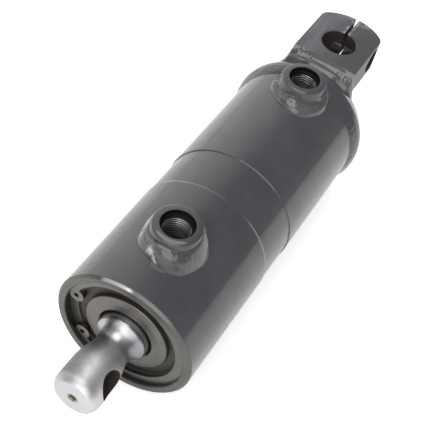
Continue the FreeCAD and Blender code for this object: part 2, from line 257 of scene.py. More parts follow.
# Colours of the paint, and the places where it is brushed or scuffed; also painted shade and painted light
# for the lug's two sides, and a painted highlight on a weld ridge.
PAINT_DARK = (0.052, 0.0500, 0.0575)
PAINT_LIGHT = (0.067, 0.0645, 0.0735)
PAINT_FLECK = (0.13, 0.128, 0.14)
PAINT_SHADED = (0.030, 0.029, 0.033)
# painted light for the lug's lit far side, over its real brush streaks
PAINT_BRUSHED_AND_LIT = (0.165, 0.161, 0.177)
PAINT_SCUFFED = (0.27, 0.262, 0.28)
WELD_DARK = (0.058, 0.054, 0.056)
WELD_LIGHT = (0.104, 0.100, 0.108)
# painted highlight along the front weld's ridge
WELD_HIGHLIGHT = (0.50, 0.49, 0.50)

# Colours of bare metal.
BARE_DARK = (0.10, 0.096, 0.090)
BARE_WARM = (0.20, 0.193, 0.180)
# painted highlight: a glint on the top of the rim's chamfer
BARE_GLINT = (0.74, 0.73, 0.71)
GLAND_DARK = (0.155, 0.149, 0.140)
GLAND_LIGHT = (0.220, 0.212, 0.199)
GLAND_WARM = (0.20, 0.155, 0.125)
# the eye's steel in painted shade and in painted light
STEEL_SHADED = (0.25, 0.25, 0.26)
STEEL_LIT = (0.68, 0.68, 0.69)
CHROME_DARK = (0.46, 0.46, 0.47)
CHROME_LIGHT = (0.60, 0.60, 0.62)
# two painted reflections on the chrome next to the gland
CHROME_DARK_REFLECTION = (0.11, 0.11, 0.115)
CHROME_BAND_REFLECTION = (0.20, 0.20, 0.215)
THREAD_BRIGHT = (0.52, 0.515, 0.51)
THREAD_STAINED = (0.30, 0.29, 0.28)

# Colours of dirt and rust, and of painted shade in recesses, holes and thread roots.
# near black: grime, and painted shade in the lug's holes and the thread roots
GRIME_AND_SHADE = (0.012, 0.011, 0.011)
# painted shade for the bore and round the gland's nose
RECESS_SHADE = (0.026, 0.025, 0.023)
RUST_BROWN = (0.052, 0.036, 0.027)
RUST_RING = (0.20, 0.12, 0.075)
RUST_IN_EYE = (0.10, 0.062, 0.042)
# rust, darkened as painted shade inside the centre drilling
RUST_AND_SHADE_IN_DRILLING = (0.10, 0.07, 0.05)

# Roughness from the glossiest to the dullest patch.
SATIN = (0.34, 0.46)
WET = (0.18, 0.30)


def paint_colour(shader, dark=PAINT_DARK, light=PAINT_LIGHT):
    """Two cloudy tones with fine pale flecks."""
    cloud = shader.noise(32.0, 5.0, 0.6)
    base = shader.blend(shader.span(cloud, 0.35, 0.65), dark, light)
    flecks = shader.span(shader.noise(620.0, 3.0, 0.6), 0.66, 0.74, 0.0, 0.5)
    return shader.blend(flecks, base, PAINT_FLECK)


def paint_gloss(shader, rough=SATIN):
    return shader.span(shader.noise(60.0, 5.0, 0.6), 0.3, 0.7, *rough)


def orange_peel(shader, strength, after):
    """The fine grain of sprayed paint, over another relief."""
    return shader.bump(shader.noise(420.0, 2.0), 0.03 * MM, strength, after)


def paint_normal(shader, peel=0.5):
    waves = shader.bump(shader.noise(38.0, 2.0), 0.22 * MM, 0.35)
    return orange_peel(shader, peel, waves)


def set_enamel(shader):
    """The uniform numbers of the enamel: a soft base under one sharp gloss."""
    shader.set(IOR=1.5, Specular_IOR_Level=0.22, Coat_Roughness=0.07)


def paint_material(name, tones=(PAINT_DARK, PAINT_LIGHT), peel=0.5, rough=SATIN, marks=None):
    """Enamel. marks(shader, colour) may add marks to its colour."""
    shader = Shader(name)
    colour = paint_colour(shader, *tones)
    if marks:
        colour = marks(shader, colour)
    shader.feed("Base Color", colour)
    shader.feed("Roughness", paint_gloss(shader, rough))
    shader.feed("Normal", paint_normal(shader, peel))
    set_enamel(shader)
    shader.set(Coat_Weight=1.0)
    return shader.material


def weld_material(name, marks=None):
    return paint_material(name, (WELD_DARK, WELD_LIGHT), 0.8, WET, marks)


def painted_highlight_line(start, end, half_width):
    """Marks for a weld: a broken bright line painted along a ridge as a highlight, between two points seen
    from above.
    """
    run = (end - start).normalized()
    aside = (-run[1], run[0])

    def marks(shader, colour):
        x, y, _ = shader.axes()

        def measured(way):
            total = shader.math("ADD", shader.times(x, way[0]), shader.times(y, way[1]))
            return shader.math("SUBTRACT", total, start[0] * way[0] + start[1] * way[1])

        wander = shader.times(shader.math("SUBTRACT", shader.noise(260.0, 3.0), 0.5), 3.0 * MM)
        off_line = shader.math("ADD", measured(aside), wander)
        line = shader.times(shader.within(off_line, -half_width, half_width, 0.4 * MM),
                            shader.within(measured(run), 0.0, (end - start).length, 1.5 * MM),
                            shader.span(shader.noise(420.0, 3.0), 0.38, 0.56))
        return shader.blend(line, colour, WELD_HIGHLIGHT)

    return marks


def barrel_material():
    """Enamel that stops at the front rim. Rim and bore are bare, the bore darkening inwards as painted
    shade, and a painted highlight lies on the top of the rim's chamfer.
    """
    shader = Shader("barrel_enamel")
    x, y, z = shader.axes()
    reach = shader.off_axis()
    paint_edge = FRONT_Y + RIM_CHAMFER
    ragged = shader.math("ADD", y, shader.times(shader.noise(220.0, 3.0), 0.7 * MM))
    painted = shader.times(shader.span(ragged, paint_edge - 0.4 * MM, paint_edge + 0.2 * MM),
                           shader.span(reach, BARREL_R - 3.2 * MM, BARREL_R - 2.6 * MM))
    bare = shader.blend(shader.noise(30.0, 4.0), BARE_DARK, BARE_WARM)
    # painted shade: the bare bore darkens further in from the rim
    shade_into_bore = shader.times(shader.span(y, FRONT_Y + 0.6 * MM, FRONT_Y + 3.4 * MM, 0.0, 0.72),
                        shader.fall(reach, BARREL_R - 5.6 * MM, BARREL_R - 5.0 * MM))
    bare = shader.blend(shade_into_bore, bare, RECESS_SHADE)
    chamfer_r = BARREL_R - RIM_CHAMFER
    # painted highlight on the top of the rim's chamfer, with lower roughness there
    glint_across = shader.math("ADD", x, shader.times(shader.noise(60.0, 3.0), 6.0 * MM))
    rim_glint = shader.times(shader.span(reach, chamfer_r - 0.2 * MM, chamfer_r + 0.1 * MM),
                          shader.within(glint_across, -17.0 * MM, 3.0 * MM, 2.0 * MM),
                          shader.span(z, AXIS_Z, AXIS_Z + 10.0 * MM))
    bare = shader.blend(rim_glint, bare, BARE_GLINT)
    shader.feed("Base Color", shader.blend(painted, bare, paint_colour(shader)))
    shader.feed("Metallic", shader.span(painted, 0.0, 1.0, 0.85, 0.0))
    bare_gloss = shader.span(rim_glint, 0.0, 1.0, 0.40, 0.24)
    shader.feed("Roughness", shader.blend_value(painted, bare_gloss, paint_gloss(shader)))
    shader.feed("Coat Weight", painted)
    lines = shader.bump(shader.turned_lines(0.55 * MM), 0.02 * MM, 0.25)
    shader.feed("Normal", orange_peel(shader, 0.5, lines))
    set_enamel(shader)
    return shader.material


def lug_colour(shader, streaks):
    """Paint with painted shade on the lug's near side and painted light on its far side, where it is also
    brushed, and scuffed beside the slot and at the end.
    """
    x, y, z = shader.axes()
    # painted shade: the lug's near (+x) side darkened towards PAINT_SHADED
    shaded_near_side = shader.span(x, 0.0, LUG_HIGH.x * 0.5, 0.0, 0.5, smooth=True)
    colour = shader.blend(shaded_near_side, paint_colour(shader), PAINT_SHADED)
    # painted light: the lug's far (-x) side lightened, together with its brush streaks
    lit_far_side = shader.span(x, LUG_HIGH.x * 0.3, LUG_LOW.x, 0.0, 0.9, smooth=True)
    brushed_and_lit = shader.times(shader.span(streaks, 0.35, 0.65, 0.3, 1.0), lit_far_side)
    colour = shader.blend(brushed_and_lit, colour, PAINT_BRUSHED_AND_LIT)
    by_slot = shader.times(shader.within(shader.math("ABSOLUTE", x), 1.2 * MM, 3.2 * MM, 0.5 * MM),
                           shader.span(y, 0.0, 8.0 * MM))
    by_end = shader.span(y, LUG_HIGH.y - 9.0 * MM, LUG_HIGH.y - 1.0 * MM)
    scuffs = shader.times(shader.math("MAXIMUM", by_slot, by_end),
                          shader.span(shader.noise(150.0, 4.0, 0.65), 0.42, 0.58),
                          shader.span(z, LUG_HIGH.z - 1.0 * MM, LUG_HIGH.z - 0.5 * MM))
    return shader.blend(scuffs, colour, PAINT_SCUFFED)


def lug_bare(shader):
    """Where the lug is bare: its bore, its slot and, partly, the clamp bolt's seat."""
    x, y, z = shader.axes()
    slot = shader.times(shader.within(x, -1.25 * MM, 1.25 * MM, 0.1 * MM),
                        shader.span(y, 0.0, 1.0 * MM),
                        shader.within(z, LUG_LOW.z + 0.3 * MM, LUG_HIGH.z - 0.3 * MM, 0.15 * MM))
    bore_r = MOUNTS["lug_bore"]["dims"]["r_mm"] * MM
    bore = shader.fall(shader.off_mount("lug_bore"), bore_r + 0.05 * MM, bore_r + 0.25 * MM)
    seat_r = MOUNTS["clamp_bolt_seat"]["dims"]["r_mm"] * MM
    seat = shader.fall(shader.off_mount("clamp_bolt_seat"), seat_r + 0.1 * MM, seat_r + 0.3 * MM)
    seat = shader.times(seat, shader.span(x, 0.0, 1.0 * MM), 0.30)
    return shader.math("MAXIMUM", shader.math("MAXIMUM", slot, bore), seat)


def lug_material():
    """Enamel brushed along the lug, dull on its flanks, with painted shade on its near side and painted
    light on its far side, and bare dark steel in the bore and the slot, darkened by rust, grime and painted
    shade.
    """
    shader = Shader("lug_enamel")
    x, _, _ = shader.axes()
    flank = shader.span(shader.math("ABSOLUTE", x), LUG_HIGH.x - 0.5 * MM, LUG_HIGH.x - 0.2 * MM)
    streaks = shader.noise(60.0, 3.0, 0.5, shader.stretched((2.6, 0.35, 1.6)))
    bare = lug_bare(shader)
    # near-black steel for the bore, slot and bolt seat: rust and grime, and painted shade inside them
    steel = shader.blend(shader.noise(55.0, 4.0), GRIME_AND_SHADE, RUST_BROWN)
    shader.feed("Base Color", shader.blend(bare, lug_colour(shader, streaks), steel))
    gloss = shader.blend_value(flank, paint_gloss(shader), 0.62)
    shader.feed("Roughness", shader.blend_value(bare, gloss, 0.7))
    covered = shader.times(shader.fall(bare, 0.0, 0.45), shader.span(flank, 0.0, 1.0, 1.0, 0.4))
    shader.feed("Coat Weight", covered)
    shader.feed("Normal", shader.bump(streaks, 0.06 * MM, 0.4, paint_normal(shader)))
    set_enamel(shader)
    return shader.material


def turned_material(name, dark, light, rough, pitch, groove=0.3):
    """Bare metal off a lathe: fine circular lines, cloudy oil film, uneven gloss."""
    shader = Shader(name)
    film_and_reflection = shader.noise(45.0, 5.0, 0.6)
    shader.feed("Base Color", shader.blend(shader.span(film_and_reflection, 0.3, 0.7), dark, light))
    lines = shader.turned_lines(pitch)
    shader.feed("Roughness", shader.span(lines, -1.0, 1.0, rough, rough + 0.08))
    shader.feed("Normal", shader.bump(lines, 0.03 * MM, groove))
    shader.set(Metallic=1.0)
    return shader.material


GLAND_NOSE_R = 29.9 * MM
GLAND_GROOVE_R = 37.0 * MM


def gland_material():
    """Turned steel under a thin warm film, with near-black painted shade in the groove round the nose and
    on the land outside it.
    """
    shader = Shader("gland_steel")
    _, y, _ = shader.axes()
    reach = shader.off_axis()
    film_and_reflection = shader.noise(45.0, 5.0, 0.6)
    colour = shader.blend(shader.span(film_and_reflection, 0.3, 0.7), GLAND_DARK, GLAND_LIGHT)
    warm = shader.span(shader.noise(22.0, 3.0), 0.52, 0.68, 0.0, 0.35)
    colour = shader.blend(warm, colour, GLAND_WARM)
    in_groove = shader.within(reach, GLAND_NOSE_R, GLAND_GROOVE_R, 0.25 * MM)
    on_land = shader.times(shader.span(reach, 36.8 * MM, 40.5 * MM, 0.50, 1.0),
                           shader.span(reach, 36.6 * MM, 36.8 * MM))
    behind_nose = shader.span(y, FRONT_Y + 4.2 * MM, FRONT_Y + 5.2 * MM)
    # painted shade: groove and land coloured near black
    shade_round_nose = shader.times(shader.math("MAXIMUM", in_groove, on_land), behind_nose, 0.86)
    shader.feed("Base Color", shader.blend(shade_round_nose, colour, RECESS_SHADE))
    lines = shader.turned_lines(0.7 * MM)
    turned = shader.span(lines, -1.0, 1.0, 0.34, 0.42)
    shader.feed("Roughness", shader.blend_value(shade_round_nose, turned, 0.5))
    shader.feed("Metallic", shader.span(shade_round_nose, 0.0, 1.0, 1.0, 0.2))
    shader.feed("Normal", shader.bump(lines, 0.03 * MM, 0.35))
    return shader.material


def rod_steel(shader, across, cloud):
    """Machined steel of the eye: painted shade on one side and painted light towards its end, rusty round
    the centre drilling, with rust and painted shade inside it.
    """
    _, y, _ = shader.axes()
    reach = shader.off_axis()
    end_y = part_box("piston_rod")[0].y
    # painted shade on the eye's -x side and painted light on its +x side
    lit_side = shader.span(across, -10.0 * MM, 7.0 * MM, smooth=True)
    # painted light towards the eye's end face
    lit_end = shader.span(y, end_y + 1.0 * MM, end_y + 9.0 * MM, 0.9, 0.0, smooth=True)
    steel = shader.blend(shader.math("MAXIMUM", lit_side, lit_end), STEEL_SHADED, STEEL_LIT)
    rust = shader.times(shader.fall(reach, 2.6 * MM, 4.4 * MM), shader.fall(y, end_y, end_y + 1.0 * MM),
                        shader.span(cloud, 0.30, 0.48))
    steel = shader.blend(rust, steel, RUST_RING)
    # painted shade inside the centre drilling, over rust
    drilled = shader.times(shader.fall(reach, 2.0 * MM, 2.4 * MM),
                           shader.fall(y, end_y + 8.0 * MM, end_y + 9.0 * MM))
    return shader.blend(drilled, steel, RUST_AND_SHADE_IN_DRILLING)


def rod_chrome(shader, across):
    """Ground chrome, with painted reflections just ahead of the barrel: a dark streak on one side and a
    darker band on the other.
    """
    _, y, _ = shader.axes()
    ground = shader.noise(70.0, 4.0, 0.6, shader.stretched((1.0, 5.0, 1.0)))
    plate = shader.blend(shader.span(ground, 0.3, 0.7), CHROME_DARK, CHROME_LIGHT)
    near_neck = shader.span(y, FRONT_Y - 1.0 * MM, FRONT_Y + 1.0 * MM, 0.8, 0.0)
    # painted reflection: a dark streak on the chrome's -x side
    dark_reflection = shader.times(shader.within(across, -11.0 * MM, -5.0 * MM, 1.5 * MM), near_neck)
    plate = shader.blend(dark_reflection, plate, CHROME_DARK_REFLECTION)
    # painted reflection: a darker band on the chrome's +x side
    film_and_reflection = shader.times(shader.span(across, 2.0 * MM, 9.0 * MM, 0.0, 0.7, smooth=True), near_neck)
    return shader.blend(film_and_reflection, plate, CHROME_BAND_REFLECTION)


def rod_material():
    """Satin chrome with painted reflections behind the neck, bare machined steel with painted shade and
    light on the eye, rust in the drillings.
    """
    shader = Shader("rod_chrome_and_steel")
    x, y, _ = shader.axes()
    neck_y = FRONT_Y - 13.5 * MM
    plated = shader.span(y, neck_y - 4.0 * MM, neck_y + 4.0 * MM, smooth=True)
    cloud = shader.noise(55.0, 5.0, 0.65)
    across = shader.math("ADD", x, shader.times(shader.math("SUBTRACT", cloud, 0.5), 20.0 * MM))
    colour = shader.blend(plated, rod_steel(shader, across, cloud), rod_chrome(shader, across))
    eye_r = MOUNTS["rod_eye"]["dims"]["r_mm"] * MM
    eye = shader.fall(shader.off_mount("rod_eye"), eye_r + 0.05 * MM, eye_r + 0.35 * MM)
    shader.feed("Base Color", shader.blend(eye, colour, shader.blend(cloud, GRIME_AND_SHADE, RUST_IN_EYE)))
    shader.feed("Metallic", shader.span(eye, 0.0, 1.0, 1.0, 0.3))
    grain = shader.span(shader.noise(240.0, 4.0, 0.7), 0.3, 0.7, 0.40, 0.52)
    polish = shader.span(shader.noise(35.0, 3.0), 0.3, 0.7, 0.27, 0.36)
    shader.feed("Roughness", shader.blend_value(eye, shader.blend_value(plated, grain, polish), 0.6))
    lines = shader.bump(shader.turned_lines(0.6 * MM), 0.02 * MM, 0.3)
    shader.feed("Normal", shader.bump(shader.noise(500.0, 3.0), 0.01 * MM, 0.4, lines))
    return shader.material


def thread_material(port):
    """Freshly cut threads: bright steel crests over near-black roots, a painted shade, with more of that
    painted shade towards the bottom.
    """
    shader = Shader(port + "_thread")
    _, _, z = shader.axes()
    crest_r = MOUNTS[port]["dims"]["r_mm"] * MM
    middle_z = MOUNTS[port]["pos_m"][2]
    # painted shade: roots and lower turns coloured near black
    crest = shader.times(shader.fall(shader.off_mount(port), crest_r + 0.14 * MM, crest_r + 0.34 * MM),
                         shader.span(z, middle_z - 2.0 * MM, middle_z + 5.0 * MM, 0.25, 1.0, smooth=True))
    stain = shader.noise(160.0, 4.0, 0.6)
    steel = shader.blend(shader.span(stain, 0.5, 0.75), THREAD_BRIGHT, THREAD_STAINED)
    shader.feed("Base Color", shader.blend(crest, GRIME_AND_SHADE, steel))
    shader.feed("Metallic", shader.span(crest, 0.0, 1.0, 0.1, 1.0))
    shader.feed("Roughness", shader.span(crest, 0.0, 1.0, 0.5, 0.3))
    return shader.material


def soft_material(name, dark, light, rough, shine=0.5):
    """Rubber or filled plastic, with a moulded grain."""
    shader = Shader(name)
    shader.set(Specular_IOR_Level=shine)
    grain = shader.noise(700.0, 3.0)
    shader.feed("Base Color", shader.blend(shader.noise(60.0, 3.0), dark, light))
    shader.feed("Roughness", shader.span(grain, 0.3, 0.7, rough - 0.06, rough + 0.06))
    shader.feed("Normal", shader.bump(grain, 0.02 * MM, 0.5))
    return shader.material


ENAMEL = paint_material("grey_enamel")
WELD_ENAMEL = weld_material("grey_enamel_on_weld")
# near-black painted shade for the port mouths and the first thread turn
RECESS = soft_material("shaded_recess_black", (0.004, 0.004, 0.004), (0.009, 0.008, 0.008), 0.62, 0.12)
RUBBER = soft_material("black_rubber", (0.012, 0.012, 0.012), (0.022, 0.021, 0.020), 0.55)
BEARING = soft_material("bearing_plastic", (0.05, 0.09, 0.065), (0.075, 0.12, 0.09), 0.5)
MACHINED = turned_material("machined_steel", (0.42, 0.42, 0.43), (0.55, 0.55, 0.56), 0.28, 0.6 * MM)
IRON = turned_material("turned_iron", (0.22, 0.22, 0.23), (0.31, 0.31, 0.32), 0.38, 0.8 * MM)
SPRING_STEEL = turned_material("spring_steel", (0.165, 0.158, 0.147), (0.225, 0.217, 0.203), 0.34,
                               0.9 * MM, 0.2)

NODE_MATERIALS = {
    "barrel_tube": barrel_material(),
    "end_cap": ENAMEL,
    "mounting_lug": lug_material(),
    "gland": gland_material(),
    "gland_circlip": SPRING_STEEL,
    "gland_o_ring": RUBBER,
    "gland_backup_ring": BEARING,
    "wiper_seal": RUBBER,
    "rod_seal": RUBBER,
    "rod_guide_ring": BEARING,
    "piston_rod": rod_material(),
    "piston": IRON,
    "piston_seal": RUBBER,
    "piston_wear_ring_front": BEARING,
    "piston_wear_ring_rear": BEARING,
    "piston_o_ring": RUBBER,
    "piston_washer": MACHINED,
    "piston_nut": MACHINED,
    "stop_tube": MACHINED,
}


def dress_nodes():
    """Gives each CAD node that stays visible its material."""
    for name, material in NODE_MATERIALS.items():
        mesh = frame["nodes"][name].data
        mesh.materials.clear()
        mesh.materials.append(material)


# ---- meshes ----

WELD_SMOOTH_DEGREES = 60.0


def object_from(mesh_edit, name, materials, sharp_degrees=38.0):
    """Finishes a bmesh as an object, smooth except at edges sharper than the given angle."""
    bmesh.ops.remove_doubles(mesh_edit, verts=mesh_edit.verts, dist=1e-7)
    bmesh.ops.recalc_face_normals(mesh_edit, faces=mesh_edit.faces)
    limit = math.radians(sharp_degrees)
    for face in mesh_edit.faces:
        face.smooth = True
    for edge in mesh_edit.edges:
        edge.smooth = edge.calc_face_angle(0.0) < limit
    mesh = bpy.data.meshes.new(name)
    mesh_edit.to_mesh(mesh)
    mesh_edit.free()
    for material in materials:
        mesh.materials.append(material)
    piece = bpy.data.objects.new(name, mesh)
    bpy.context.scene.collection.objects.link(piece)
    return piece


def ring_mesh(rows, material_of=None):
    """Closed tube-like surface: rows of points, joined around and from the last row to the first."""
    edit = bmesh.new()
    grid = [[edit.verts.new(point) for point in row] for row in rows]
    count = len(rows[0])
    for i in range(len(grid)):
        upper, lower = grid[i], grid[(i + 1) % len(grid)]
        for j in range(count):
            k = (j + 1) % count
            face = edit.faces.new((upper[j], upper[k], lower[k], lower[j]))
            if material_of:
                face.material_index = material_of(i)
    return edit


def join_loops(edit, loops):
    """Skins a row of closed loops and shuts both ends."""
    count = len(loops[0])
    for first, second in zip(loops, loops[1:]):
        for j in range(count):
            k = (j + 1) % count
            edit.faces.new((first[j], first[k], second[k], second[j]))
    edit.faces.new(loops[0])
    edit.faces.new(list(reversed(loops[-1])))


# ---- threaded port bosses ----

THREAD_PITCH = 1.814 * MM       # 14 threads per inch
THREAD_MINOR_R = 9.32 * MM
THREAD_MAJOR_R = 10.40 * MM
MOUTH_R = 11.2 * MM             # plain recess above the thread
MOUTH_DEPTH = 3.0 * MM
MOUTH_CHAMFER = 0.35 * MM
SPIGOT_R = 12.0 * MM
SPIGOT_FOOT = 43.0 * MM         # height
BOSS_CHAMFER = 1.2 * MM
BOSS_SUNK = -0.3 * MM           # lift of the boss's foot above the barrel
# material slots: enamel, cut thread, and near-black painted shade in the mouth
PAINTED, CUT, SHADE_BLACK = range(3)
THREADS = {port: thread_material(port) for port in ("front_port", "rear_port")}
PORT_COLUMNS = 112
ROWS_PER_PITCH = 12


def port_place(node):
    """Station, top height and radius of a port boss, from its CAD box."""
    low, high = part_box(node)
    return (low.y + high.y) / 2 - FRONT_Y, high.z - AXIS_Z, (high.x - low.x) / 2


def thread_radius(height, turn):
    """Radius of a right-hand thread with rounded crests and roots."""
    phase = (height / THREAD_PITCH - turn / (2 * math.pi)) % 1.0
    flank = abs(2.0 * phase - 1.0)
    rounded = min(max(1.25 * flank - 0.125, 0.0), 1.0)
    return THREAD_MINOR_R + (THREAD_MAJOR_R - THREAD_MINOR_R) * rounded


def port_boss(port):
    """Boss with a helical thread, from its spigot's foot up the bore, over the top and down the outside."""
    node = port + "_boss"
    station, top, outer = port_place(node)
    turns = [2 * math.pi * k / PORT_COLUMNS for k in range(PORT_COLUMNS)]
    recess_floor = top - MOUTH_DEPTH
    lead_end = recess_floor - (MOUTH_R - THREAD_MINOR_R)
    # painted shade from just below the lead-in up to the mouth's top
    shade_from = lead_end - 0.6 * MM
    rows, finish = [], []

    def add(radius_of, height_of, material):
        points = []
        for turn in turns:
            radius = radius_of(turn)
            x, y = radius * math.cos(turn), radius * math.sin(turn)
            points.append(at(x, station + y, height_of(x)))
        rows.append(points)
        finish.append(material)

    def level(radius, height, material):
        add(lambda turn: radius, lambda x: height, material)

    def saddle(radius):
        add(lambda turn: radius, lambda x: barrel_height(x, BOSS_SUNK), PAINTED)

    count = math.ceil((recess_floor - SPIGOT_FOOT) * ROWS_PER_PITCH / THREAD_PITCH)
    for k in range(count + 1):
        height = SPIGOT_FOOT + (recess_floor - SPIGOT_FOOT) * k / count
        lead_in = MOUTH_R - (recess_floor - height) if height > lead_end else 0.0
        add(lambda turn: max(thread_radius(height, turn), lead_in), lambda x: height,
            CUT if height < shade_from else SHADE_BLACK)
    level(MOUTH_R, top - MOUTH_CHAMFER, SHADE_BLACK)
    level(MOUTH_R + MOUTH_CHAMFER, top, PAINTED)
    level(outer - BOSS_CHAMFER, top, PAINTED)
    level(outer - 0.3 * BOSS_CHAMFER, top - 0.45 * BOSS_CHAMFER, PAINTED)
    level(outer, top - BOSS_CHAMFER, PAINTED)
    saddle(outer)
    saddle(SPIGOT_R)
    level(SPIGOT_R, SPIGOT_FOOT, PAINTED)
    edit = ring_mesh(rows, lambda i: finish[i])
    piece = object_from(edit, port + "_threaded_boss", [ENAMEL, THREADS[port], RECESS])
    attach(piece, "barrel")
    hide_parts(node)


# ---- welds round the bosses ----

WELD_COLUMNS = 240
WELD_STEPS = 22
WELD_OVERLAP = 0.15 * MM        # how far a bead's top edge reaches into the boss
WELD_ROOT = 1.2 * MM            # how far a bead's hidden side lies inside the boss's wall
WELD_SINK = 0.6 * MM            # and below the barrel's surface
RIPPLE_PITCH = 3.1 * MM


def weld_lumps(x, y, seed):
    """Uneven run of a hand weld, about -1 to 1."""
    place = Vector((x, y, seed * MM))
    broad = noise.noise(place * 150.0)
    middle = noise.noise(place * 330.0 + Vector((7.0, 0.0, 0.0)))
    fine = noise.noise(place * 900.0)
    return 0.75 * broad + 0.6 * middle + 0.22 * fine


def port_weld(port, foot_radius, wall_height, profile, lumps, seed, enamel=WELD_ENAMEL):
    """Bead from the boss's wall out to the barrel. foot_radius, wall_height and profile follow the turn."""
    station, _, wall_r = port_place(port + "_boss")
    inner = wall_r - WELD_OVERLAP
    root = wall_r - WELD_ROOT
    rows = [[] for _ in range(WELD_STEPS + 4)]
    for column in range(WELD_COLUMNS):
        turn = 360.0 * column / WELD_COLUMNS
        angle = math.radians(turn)
        ray_x, ray_y = math.cos(angle), math.sin(angle)
        reach, rise = foot_radius(turn), wall_height(turn)
        for k in range(WELD_STEPS + 1):
            t = k / WELD_STEPS
            radius = inner + (reach - inner) * t
            x, y = radius * ray_x, radius * ray_y
            ground = barrel_height(x)
            height = ground + (rise - barrel_height(wall_r * ray_x)) * profile(t, turn)
            ripple = 0.08 * math.cos(2 * math.pi * (angle * reach / RIPPLE_PITCH + 1.4 * t * t))
            wander = 0.5 * noise.noise(Vector((x, y, seed)) * 90.0)
            passes = 0.13 * math.cos(2 * math.pi * (3.3 * t + wander))
            fade = math.sin(math.pi * t) ** 0.7
            height += fade * (lumps * weld_lumps(x, y, seed) + (ripple + passes) * MM)
            if k == WELD_STEPS:
                height = ground - 0.05 * MM
            rows[k].append(at(x, station + y, height))
        for offset, radius in enumerate((reach, root)):
            x, y = radius * ray_x, radius * ray_y
            rows[WELD_STEPS + 1 + offset].append(at(x, station + y, barrel_height(x) - WELD_SINK))
        rows[WELD_STEPS + 3].append(at(root * ray_x, station + root * ray_y, rise - 0.5 * MM))
    piece = object_from(ring_mesh(rows), port + "_weld_bead", [enamel], WELD_SMOOTH_DEGREES)
    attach(piece, "barrel")
    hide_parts(port + "_weld")


def front_weld():
    """A tall smooth skirt with a pointed run and a ridge towards the rod end, with a painted highlight
    along the ridge.
    """
    def foot(turn):
        return (23.2 + 2.2 * turn_hump(turn, -58, 24) + 1.2 * turn_hump(turn, 62, 34)
                - 1.4 * turn_hump(turn, -118, 20) + 0.35 * math.sin(math.radians(5 * turn))) * MM

    def wall(turn):
        return (61.2 + 0.7 * math.sin(math.radians(3 * turn + 40)) - 0.9 * turn_hump(turn, -110, 28)) * MM

    def profile(t, turn):
        crown = 1.0 - t ** 1.15
        step = 0.09 * turn_hump(turn, -112, 16) * (hump(t, 0.26, 0.11) - hump(t, 0.52, 0.16))
        swell = math.sin(math.pi * t)
        ridge = 0.11 * turn_hump(turn, -118 + 33 * t, 7) * swell
        hollow = 0.10 * turn_hump(turn, -140 + 30 * t, 13) * swell
        return crown + 0.16 * swell + step + ridge - hollow

    station = port_place("front_port_boss")[0]
    # the ridge's painted highlight runs between these two points
    ridge_from = at(-8.6 * MM, station - 17.6 * MM, 0.0).xy
    ridge_to = at(1.0 * MM, station - 23.4 * MM, 0.0).xy
    enamel = weld_material("grey_enamel_on_front_weld", painted_highlight_line(ridge_from, ridge_to, 0.8 * MM))
    port_weld("front_port", foot, wall, profile, 1.0 * MM, 3.0, enamel)


def rear_weld():
    """A low ledge, broadest towards the front port, with a rounded edge."""
    def foot(turn):
        return (21.8 + 5.4 * turn_hump(turn, -72, 40) + 0.9 * turn_hump(turn, -18, 22)
                + 0.3 * math.sin(math.radians(4 * turn + 30))) * MM

    def wall(turn):
        return (53.6 + 2.3 * turn_hump(turn, -82, 34) + 0.4 * math.sin(math.radians(3 * turn))) * MM

    def profile(t, turn):
        flat = 0.62 + 0.38 * (1.0 - min(t / 0.16, 1.0)) ** 1.6
        sloping = 1.0 - 0.50 * t
        edge = 1.0 - max((t - 0.72) / 0.28, 0.0) ** 2.2
        return (flat + (sloping - flat) * turn_hump(turn, -76, 48)) * edge

    port_weld("rear_port", foot, wall, profile, 0.8 * MM, 11.0)


# ---- weld round the end cap ----

CAP_WELD_FOOT = 236.0 * MM      # stations of its two edges
CAP_WELD_TOP = 244.4 * MM


def cap_weld():
    """Fillet bead from the tube up to the cap's wider rim."""
    columns, steps = 360, 12
    rows = [[] for _ in range(steps + 3)]
    for column in range(columns):
        angle = 2 * math.pi * column / columns
        ray_x, ray_z = math.sin(angle), math.cos(angle)
        foot = CAP_WELD_FOOT + 0.7 * MM * noise.noise(Vector((3.0 * ray_x, 3.0 * ray_z, 17.0)))
        outline = []
        for k in range(steps + 1):
            t = k / steps
            swell = weld_lumps(BARREL_R * angle, t * 8.0 * MM, 23.0)
            crown = (0.5 + 0.55 * swell) * MM * math.sin(math.pi * t)
            radius = BARREL_R - 0.05 * MM + (CAP_R - BARREL_R) * t + crown
            outline.append((radius, foot + (CAP_WELD_TOP - foot) * t))
        outline.append((CAP_R - 1.0 * MM, CAP_WELD_TOP + 0.6 * MM))
        outline.append((BARREL_R - 1.0 * MM, CAP_WELD_FOOT + 3.0 * MM))
        for row, (radius, station) in zip(rows, outline):
            row.append(at(radius * ray_x, station, radius * ray_z))
    piece = object_from(ring_mesh(rows), "end_cap_weld_bead", [ENAMEL], 50.0)
    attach(piece, "barrel")
    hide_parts("end_cap_weld")


# ---- weld at the lug's root ----

LUG_HALF_X = (LUG_HIGH.x - LUG_LOW.x) / 2
LUG_TOP = LUG_HIGH.z - AXIS_Z
LUG_FOOT = LUG_LOW.z - AXIS_Z
BEAD_ACROSS = 120
BEAD_DOWN = 18
SKIRT = 6.5 * MM                # how far the top bead runs out beside the lug
PREP_DEPTH = 6.5 * MM           # prepared edge of the lug, which the bead has to cover
SIDE_TOP = 41.0 * MM            # height at which the side beads start
SIDE_LEG = 4.6 * MM


